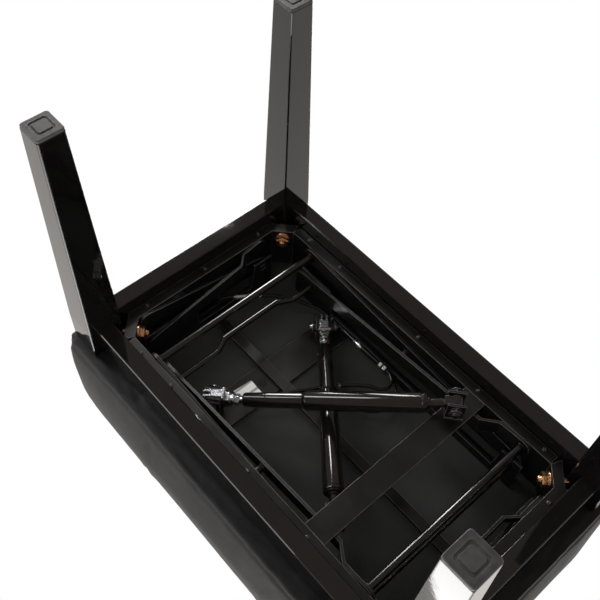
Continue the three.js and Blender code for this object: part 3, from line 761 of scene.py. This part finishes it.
def cut_lever_notch(cover):
    """The opening over the release lever, as wide as the one in the end rail."""
    low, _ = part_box("release_lever")
    bm = bmesh.new()
    mesh = bpy.data.meshes.new("notch")
    block(bm, Vector((low.x, 0, NOTCH_Z * MM)), Vector(NOTCH) * MM)
    bmesh.ops.bevel(bm, geom=bm.edges[:], offset=4 * MM, segments=4, affect="EDGES")
    bm.to_mesh(mesh)
    bm.free()
    cutter = new_object("notch", mesh)
    boolean = cover.modifiers.new("notch", "BOOLEAN")
    boolean.operation = "DIFFERENCE"
    boolean.object = cutter
    bpy.context.view_layer.update()
    ready = cover.evaluated_get(bpy.context.evaluated_depsgraph_get())
    result = bpy.data.meshes.new_from_object(ready)
    cover.modifiers.remove(boolean)
    cover.data = result
    bpy.data.objects.remove(cutter)


# ---- dust cover ---------------------------------------------------------------------

def make_dust_cover():
    """Cambric stretched over the underside of the seat, with slight slack and pulls."""
    low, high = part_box("dust_cover")
    columns, rows = 110, 66  # cells along x and along y
    bm = bmesh.new()
    layers = []
    for lift in (0.2, 0.7):
        grid = []
        for j in range(rows + 1):
            line = []
            for i in range(columns + 1):
                u, v = i / columns, j / rows
                x = low.x + (high.x - low.x) * u
                y = low.y + (high.y - low.y) * v
                edge = min(u, 1 - u, v, 1 - v)
                slack = noise.noise(Vector((x * 14, y * 14, 2.0))) * min(edge * 8, 1)
                pull = math.sin(u * 60) * math.sin(v * 44) * math.exp(-edge * 40)
                z = low.z + (lift + 0.35 + 0.3 * slack + 0.1 * pull) * MM
                line.append(bm.verts.new((x, y, z)))
            grid.append(line)
        layers.append(grid)
    under, over = layers
    for j in range(rows):
        for i in range(columns):
            bm.faces.new((under[j][i], under[j][i + 1], under[j + 1][i + 1], under[j + 1][i]))
            bm.faces.new((over[j][i], over[j + 1][i], over[j + 1][i + 1], over[j][i + 1]))
    for j in range(rows):
        for i in (0, columns):
            bm.faces.new((under[j][i], under[j + 1][i], over[j + 1][i], over[j][i]))
    for i in range(columns):
        for j in (0, rows):
            bm.faces.new((under[j][i], under[j][i + 1], over[j][i + 1], over[j][i]))
    cloth = mesh_piece("cambric_dust_cover", bm, CAMBRIC, "seat")
    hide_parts("dust_cover")


# ---- frame, bolts and rods ----------------------------------------------------------

CORNERS = (("front_left", -1, 1), ("back_left", -1, -1), ("back_right", 1, -1),
           ("front_right", 1, 1))
CORNER_PLATE = Vector((237, 123, 348.8))  # the middle of a corner plate's outer face


def make_leg_bolts():
    """M10 bolts through the corner plates into the legs: nut, washer, threaded tail."""
    for corner, sx, sy in CORNERS:
        at = Vector((sx * CORNER_PLATE.x, sy * CORNER_PLATE.y, CORNER_PLATE.z)) * MM
        place = pointing(at, (sx, sy, 0))
        bm = bmesh.new()
        thread(bm, -16.5, -10.8, 5, 1.5, place)
        washer(bm, -4.6, -2.8, 11, 5.1, place)
        revolve(bm, [(-12.6, 5), (-12.6, 8.3), (-11.6, 9.8), (-6.6, 9.8), (-5.6, 9.4),
                     (-5.6, 5), (-12.6, 5)], place, 6)
        revolve(bm, [(-5.6, 5), (-5.6, 10.6), (-4.6, 10.8), (-4.6, 5), (-5.6, 5)], place, 40)
        washer(bm, 0.3, 6.3, 9.8, 5.1, place, segments=6, ease=0.8)
        rod(bm, -10.8, 50, 5, place)
        bolt = mesh_piece(f"hex_leg_bolt_{corner}", bm, YELLOW_ZINC, "base")
        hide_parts(f"leg_bolt_{corner}")


def make_glide_pads():
    """Grey nylon pads under the feet: a square with a round groove about a low disc."""
    for corner, _, _ in CORNERS:
        low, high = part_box(f"glide_{corner}")
        centre = (low + high) / 2
        half = (high.x - low.x) / 2 / MM
        place = pointing((centre.x, centre.y, low.z), (0, 0, 1), up=(1, 0, 0))
        bm = bmesh.new()
        square = []
        for index, turn in enumerate((0, 90, 180, 270)):
            cx = (half - 3) * (1 if index in (0, 3) else -1)
            cy = (half - 3) * (1 if index in (0, 1) else -1)
            square += arc((cx, cy), 3, turn, turn + 90, 12)
        rings = []
        for along, share in ((3.9, 1.0), (1.0, 1.0), (0.25, 0.965)):
            rings.append([bm.verts.new(place @ (Vector((along, x * share, y * share)) * MM))
                          for x, y in square])
        for along, radius in ((0.25, 13.0), (1.3, 12.4), (1.3, 10.2), (0.05, 9.6), (0.05, 5.0)):
            ring = []
            for x, y in square:
                turn = math.atan2(y, x)
                ring.append(bm.verts.new(place @ (Vector((
                    along, radius * math.cos(turn), radius * math.sin(turn))) * MM)))
            rings.append(ring)
        bridge(bm, rings)
        pad = mesh_piece(f"foot_pad_{corner}", bm, NYLON, "base")
        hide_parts(f"glide_{corner}")


CLIP = (124.0, 125.2)  # a rod's end clip, just inside the outer arms


def make_cross_rods():
    """Turned rods with eased ends and a round clip near each end."""
    bodies = {"pivot_rod": "lifting_arms", "sliding_rod": "sliding_arms",
              "seat_pivot_rod": "sliding_arms"}
    for name, body in bodies.items():
        low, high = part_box(name)
        middle = (low + high) / 2
        half = (high.y - low.y) / 2 / MM
        place = pointing((middle.x, 0, middle.z), (0, 1, 0))
        bm = bmesh.new()
        rod(bm, -half, half, 5, place, ease=1.0)
        for side in (-1, 1):
            ends = sorted((side * CLIP[0], side * CLIP[1]))
            washer(bm, *ends, 8.2, 5.05, place, ease=0.2)
        smooth = mesh_piece(f"turned_{name}", bm, ROD, body)
        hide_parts(name)


def make_tie_bar():
    """The cranked bar between the lifting arms, bent from round stock."""
    low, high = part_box("cranked_tie_bar")
    x, out = high.x - 4 * MM, low.x + 4 * MM
    z, end = (low.z + high.z) / 2, high.y
    stops = [(x, -end), (x, -82 * MM), (x - 1 * MM, -76 * MM), (out + 1 * MM, -58 * MM),
             (out, -52 * MM), (out, 26 * MM), (out + 1 * MM, 32 * MM), (x - 1 * MM, 50 * MM),
             (x, 56 * MM), (x, end)]
    points = along_curve([Vector((px, py, z)) for px, py in stops], 6)
    bm = bmesh.new()
    tube(bm, points, 4, 24)
    bar = mesh_piece("bent_tie_bar", bm, ROD, "lifting_arms")
    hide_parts("cranked_tie_bar")


FLANGE_Z = 336  # the underside of the ring's flange
SCREW_ROWS = (253.6, 139.6)  # how far the rows of screws are from the middle


def make_flange_screws():
    """Pan-head screws that hold the ring's flange to the aprons."""
    bm = bmesh.new()
    spots = []
    for side in (-1, 1):
        spots += [(x, side * SCREW_ROWS[1]) for x in (-200, -140, 5, 106, 209)]
        spots += [(side * SCREW_ROWS[0], y) for y in (-92, 0, 92)]
    for x, y in spots:
        place = pointing(Vector((x, y, FLANGE_Z)) * MM, (0, 0, -1), up=(1, 0, 0))
        revolve(bm, [(0, 3.0), (0.9, 2.8), (1.5, 2.0), (1.7, 1.2), (1.1, 0.9), (0.9, 0)],
                place, 24)
    mesh_piece("flange_screws", bm, STEEL, "base")


# ---- gas springs --------------------------------------------------------------------

# Each spring's two pins, mm.
SPRINGS = {
    "lower": {"from": Vector((105, -95, 315)), "to": Vector((-118, 96, 390))},
    "upper": {"from": Vector((105, 95, 362)), "to": Vector((-118, -96, 412))},
}


def spring_place(name):
    """The spring's place, x from the frame pin to the seat pin, and its length in mm."""
    spring = SPRINGS[name]
    run = spring["to"] - spring["from"]
    return pointing(spring["from"] * MM, run), run.length


def make_gas_springs():
    """Both springs, each in parts that ride on its body, its rod and its trigger."""
    for name in SPRINGS:
        place, length = spring_place(name)
        make_spring_tube(name, place)
        make_spring_rod(name, place)
        make_release_head(name, place, length)
        make_trigger(name, place, length)
        make_pivot_bolts(name, place, length)


def make_spring_tube(name, place):
    """Eye, stud, rolled tube and a sleeve in two tapered steps, as one piece."""
    bm = bmesh.new()
    eye = arc((0, 0), 9, 60, 300, 24) + [(9, -7.8), (13, -7), (13, 7), (9, 7.8)]
    plate(bm, eye, -6, 6, place, hole=4.3)
    revolve(bm, [
        (12.6, 0), (12.6, 5.6), (30.0, 5.6), (30.4, 7.5), (33.0, 7.5), (33.4, 10.4),
        (35.0, 10.8), (35.4, 12.2), (36.4, 12.5), (38.2, 12.5), (38.7, 11.9), (39.4, 11.9),
        (39.9, 12.5), (180.0, 12.5), (182.4, 11.6), (183.4, 10.6), (184.4, 10.2),
        (185.2, 9.4), (186.0, 10.0), (231.0, 9.8), (231.5, 9.2), (232.3, 9.2),
        (232.8, 9.6), (259.0, 9.0), (261.0, 8.2), (262.0, 7.0), (262.0, 5.6),
        (178.0, 5.6), (178.0, 0),
    ], place, 64)
    body = mesh_piece(f"enamelled_{name}_tube", bm, TUBE, f"{name}_spring_body")
    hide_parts(f"{name}_cylinder")


def make_spring_rod(name, place):
    """The chromed piston rod, seen between the sleeve and the head."""
    bm = bmesh.new()
    rod(bm, 190, 273.6, 5, place, segments=48)
    piece = mesh_piece(f"polished_{name}_rod", bm, CHROME, f"{name}_spring_rod")
    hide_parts(f"{name}_piston_rod")


def make_release_head(name, place, length):
    """A die-cast head: a lock nut, a waisted body and a lug round the pin."""
    bm = bmesh.new()
    washer(bm, 266.5, 272.5, 7.6, 5.1, place, segments=6, ease=0.5)
    revolve(bm, [(273, 0), (273, 6.4), (274, 7.2), (282, 7.2), (283, 6.2), (283, 0)], place, 32)
    lug = arc((length, 0), 12, -125, 125, 30)
    lug += [(279, 8), (279, -8)]
    plate(bm, lug, -6, 6, place, hole=8.7, hole_at=(length, 0))
    head = mesh_piece(f"cast_{name}_head", bm, BRIGHT_ZINC, f"{name}_spring_rod")
    soften(head, 0.8)
    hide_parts(f"{name}_release_head")


def make_trigger(name, place, length):
    """The pressed release lever under the head, forked to hold the cable's end."""
    bm = bmesh.new()
    for side in (-1, 1):
        ends = sorted((side * 2.0, side * 5.0))
        plate(bm, [(length - 2, -16.5), (length + 8, -16.5), (length + 9, -15),
                   (length + 8, -13), (length - 2, -13)], *ends, place)
    plate(bm, [(length - 20, -16.5), (length - 2, -16.5), (length - 2, -13),
               (length - 20, -13)], -5, 5, place)
    across = place @ Matrix.Translation(Vector((length - 18, 0, -14.7)) * MM)
    turned = across @ Matrix.Rotation(math.pi / 2, 4, "Z")
    rod(bm, -8.5, 8.5, 2.2, turned)
    piece = mesh_piece(f"pressed_{name}_trigger", bm, BRIGHT_ZINC,
                       f"{name}_spring_trigger")
    soften(piece, 0.4)
    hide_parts(f"{name}_trigger")


def make_pivot_bolts(name, place, length):
    """Nuts and washers on the pins at both ends, outside the bracket ears."""
    for end, along, body, material, slot in (
        ("frame", 0, "base", STEEL, "black_steel"),
        ("seat", length, "seat", BRIGHT_ZINC, "bright_zinc"),
    ):
        middle = place @ Matrix.Translation(Vector((along, 0, 0)) * MM)
        turned = middle @ Matrix.Rotation(math.pi / 2, 4, "Z")
        bm = bmesh.new()
        for side in (-1, 1):
            flat = sorted((side * 15.1, side * 15.9))
            washer(bm, *flat, 8.2, 1.5, turned, ease=0.2)
            dome = turned @ Matrix.Scale(side, 4, Vector((1, 0, 0)))
            revolve(bm, [(15.9, 0), (15.9, 5.2), (18.6, 4.4), (20.0, 2.6), (20.4, 0)],
                    dome, 24)
        mesh_piece(f"{name}_{end}_pivot_nuts", bm, material, body)


# ---- cables -------------------------------------------------------------------------

MAIN_CABLE = [
    (-255, -3, 418.5), (-250, -8, 415), (-244, -18, 410), (-238, -29, 409.5),
    (-229, -41, 409.5), (-212, -66, 411), (-190, -88, 413), (-162, -106, 415.5),
    (-138, -115, 417), (-95, -115.5, 417), (-60, -113, 413), (-26, -113, 411),
    (-8, -112, 411), (4, -106, 411), (8, -95, 411), (2, -85, 411), (-10, -78, 411),
    (-28, -60, 412), (-52, -26, 413), (-76, 14, 413), (-94, 42, 413), (-104, 60, 412),
]
BRANCH_CABLE = [
    (-88, -64, 418), (-76, -60, 419), (-62, -54, 419.5), (-44, -46, 419.5),
    (-26, -42, 419.5), (-6, -44, 419.5), (12, -54, 419), (24, -70, 419),
    (26, -88, 419), (18, -102, 419), (4, -110, 419), (-14, -113, 419),
]


def fitting(bm, route, share, profile, segments):
    """A turned fitting centred on a cable, at a share of the way along its route."""
    index = min(int(share * (len(route) - 1)), len(route) - 2)
    direction = route[index + 1] - route[index]
    revolve(bm, profile, pointing(route[index], direction), segments)


def make_cables():
    """Both sheathed cables and the turned fittings along them."""
    main = along_curve([Vector(p) * MM for p in MAIN_CABLE], 8)
    branch = along_curve([Vector(p) * MM for p in BRANCH_CABLE], 8)
    for name, route in (("release_cable", main), ("branch_cable", branch)):
        bm = bmesh.new()
        tube(bm, route, 2.4, 16)
        sheath = mesh_piece(f"sheathed_{name}", bm, SHEATH, "seat")
        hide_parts(name)
    bm = bmesh.new()
    barrel = [(-14, 0), (-14, 3.2), (-11, 3.2), (-11, 4.4), (11, 4.4), (11, 3.2), (14, 3.2),
              (14, 0)]
    sleeve = [(-7, 0), (-7, 3.0), (-6, 3.6), (5, 3.6), (9, 2.7), (9, 0)]
    nut = [(-2.5, 0), (-2.5, 4.6), (-2, 5.2), (2, 5.2), (2.5, 4.6), (2.5, 0)]
    bead = [(-2.4, 0), (-1.8, 3.0), (0, 3.7), (1.8, 3.0), (2.4, 0)]
    for route, share, profile, segments in (
        (main, 0.20, barrel, 24), (main, 0.235, nut, 6), (main, 0.40, bead, 24),
        (main, 0.47, sleeve, 24), (main, 0.535, nut, 6), (main, 0.55, nut, 6),
        (main, 0.83, bead, 24), (main, 0.985, sleeve, 24), (branch, 0.02, sleeve, 24),
    ):
        fitting(bm, route, share, profile, segments)
    mesh_piece("cable_fittings", bm, BRIGHT_ZINC, "seat")


# ---- label and lever grip -----------------------------------------------------------

def printed_paper_label():
    """Coated white paper with grey bars where a real label has print."""
    material, tree, shader = new_material("printed_paper_label", Roughness=0.45, IOR=1.5)
    place = add(tree, "TexCoord").outputs["Object"]
    bars = add(tree, "TexWave", {"Vector": place, "Scale": per_mm(4.4) / 10})
    colour = add(tree, "ValToRGB", {"Fac": bars.outputs["Fac"]}, [
        (0.0, "#8e8f90"), (0.3, "#e9e9e6"),
    ]).outputs["Color"]
    tree.links.new(colour, shader.inputs["Base Color"])
    return material


HEAD_PLATE_Z = 428.2  # the underside of the spring heads' cross plate


def make_label():
    """A paper label stuck under the spring heads' cross plate, slightly skewed."""
    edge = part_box("head_cross_plate")[0].x / MM
    corners = [(edge + 11.5, 28), (edge + 37.5, 29), (edge + 35, 57), (edge + 9, 56)]
    bm = bmesh.new()
    bridge(bm, [[bm.verts.new(Vector((x, y, z)) * MM) for x, y in corners]
                for z in (HEAD_PLATE_Z - 0.4, HEAD_PLATE_Z - 0.1)])
    mesh_piece("paper_label", bm, printed_paper_label(), "seat")


def make_lever_grip():
    """A dipped sleeve on the end of the release lever."""
    low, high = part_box("release_lever")
    bm = bmesh.new()
    middle = Vector((low.x + 9 * MM, 0, low.z + 1.6 * MM))
    block(bm, middle, Vector((19 * MM, (high.y - low.y) + 2.4 * MM, 5.4 * MM)))
    grip = mesh_piece("lever_grip", bm, GRIP, "lever")
    soften(grip, 2.2, segments=4)


# ---- camera, floor and light --------------------------------------------------------

def place_camera():
    """Low at one corner, looking up and rolled over."""
    camera = new_object("camera", bpy.data.cameras.new("camera"))
    camera.data.lens = LENS
    camera.data.sensor_width = 36
    camera.data.clip_start = 0.01
    turn = (CAMERA_AIM - CAMERA_AT).to_track_quat("-Z", "Y").to_matrix().to_4x4()
    camera.matrix_world = (
        Matrix.Translation(CAMERA_AT) @ turn @ Matrix.Rotation(-CAMERA_ROLL, 4, "Z")
    )
    bpy.context.scene.camera = camera


def one_sided_paper():
    """Pale paper lit and seen from above, clear from below and in gloss reflections.

    Light from under the floor passes it too, so that it reaches the bench's underside.
    """
    material, tree, shader = new_material("one_sided_paper", Roughness=0.9)
    place = add(tree, "TexCoord").outputs["Object"]
    fibre = add(tree, "TexNoise", {"Vector": place, "Scale": per_mm(40), "Detail": 3.0})
    colour = add(tree, "ValToRGB", {"Fac": fibre.outputs["Fac"]}, [
        (0.3, "#ececea"), (0.7, "#f2f2f0"),
    ]).outputs["Color"]
    tree.links.new(colour, shader.inputs["Base Color"])
    clear = add(tree, "BsdfTransparent")
    back = add(tree, "NewGeometry").outputs["Backfacing"]
    light_path = add(tree, "LightPath").outputs
    for kind in ("Is Shadow Ray", "Is Glossy Ray"):
        back = add(tree, "Math", {0: back, 1: light_path[kind]}, operation="MAXIMUM").outputs[0]
    sided = add(tree, "MixShader", {
        "Fac": back, 1: shader.outputs["BSDF"], 2: clear.outputs["BSDF"],
    })
    output = tree.nodes["Material Output"]
    tree.links.new(sided.outputs["Shader"], output.inputs["Surface"])
    return material


def make_floor():
    """A pale floor with a hole under each foot, smaller than the foot that covers it."""
    stops = []
    for leg in LEG_AT:
        inner, outer = leg - FOOT_HOLE_HALF, leg + FOOT_HOLE_HALF
        stops.append([-FLOOR_HALF, -outer, -inner, inner, outer, FLOOR_HALF])
    bm = bmesh.new()
    grid = [[bm.verts.new((x, y, 0)) for x in stops[0]] for y in stops[1]]
    for j in range(5):
        for i in range(5):
            if i in (1, 3) and j in (1, 3):
                continue
            bm.faces.new((grid[j][i], grid[j][i + 1], grid[j + 1][i + 1], grid[j + 1][i]))
    mesh = bpy.data.meshes.new("floor")
    bm.to_mesh(mesh)
    bm.free()
    floor = new_object("floor", mesh)
    mesh.materials.append(one_sided_paper())


def area_light(name, at, aim, size, power, size_y=None):
    """A rectangular soft light in watts, size metres wide, that faces a point."""
    light = bpy.data.lights.new(name, "AREA")
    light.energy = power
    light.shape = "RECTANGLE"
    light.size = size
    light.size_y = size_y or size
    lamp = new_object(name, light)
    turn = (Vector(aim) - Vector(at)).to_track_quat("-Z", "Y").to_matrix().to_4x4()
    lamp.matrix_world = Matrix.Translation(at) @ turn
    return lamp


def make_light():
    """A white studio with softboxes for shape and strips for thin highlights."""
    world = bpy.data.worlds.new("white_studio")
    bpy.context.scene.world = world
    world.use_nodes = True
    tree = world.node_tree
    background = tree.nodes["Background"]
    direct = add(tree, "LightPath").outputs["Is Camera Ray"]
    height = add(tree, "SeparateXYZ", {"Vector": add(tree, "TexCoord").outputs["Generated"]})
    # White above the horizon, a dim warm room below it.
    rise = add(tree, "MapRange", {
        "Value": height.outputs["Z"], "From Min": -0.3, "From Max": 0.3,
    })
    surround = add(tree, "ValToRGB", {"Fac": rise.outputs["Result"]}, [
        (0.0, "#8b817b"), (0.5, "#b0a9a4"), (1.0, "#e6e1dc"),
    ])
    shown = add(tree, "Mix", {
        "Factor": direct, "A": surround.outputs["Color"], "B": linear("#ffffff"),
    }, data_type="RGBA")
    tree.links.new(shown.outputs["Result"], background.inputs["Color"])
    fill = area_light("softbox_below", (0.9, 1.1, -1.4), (0, 0, 0.4), 1.2, 10)
    fill.visible_glossy = False  # it would show as a white patch low on the legs
    area_light("strip_below", (-1.5, 0.5, -0.9), (0, 0, 0.4), 0.3, 14, 1.4)
    area_light("strip_far", (-1.35, -0.66, -0.3), (0, 0, 0.4), 0.25, 22, 1.2)
    area_light("softbox_side", (-0.9, 1.9, 0.1), (0, 0, 0.4), 1.2, 16)
    area_light("softbox_above", (0.8, 1.2, 1.9), (0, 0, 0.3), 1.4, 26)
    area_light("softbox_back", (-1.4, -1.0, 1.5), (0, 0, 0.3), 1.2, 18)


place_camera()
make_floor()
make_light()
bpy.context.scene.view_settings.view_transform = "Standard"
finish_nodes()
make_cover()
make_dust_cover()
make_leg_bolts()
make_glide_pads()
make_cross_rods()
make_tie_bar()
make_flange_screws()
make_gas_springs()
make_cables()
make_label()
make_lever_grip()
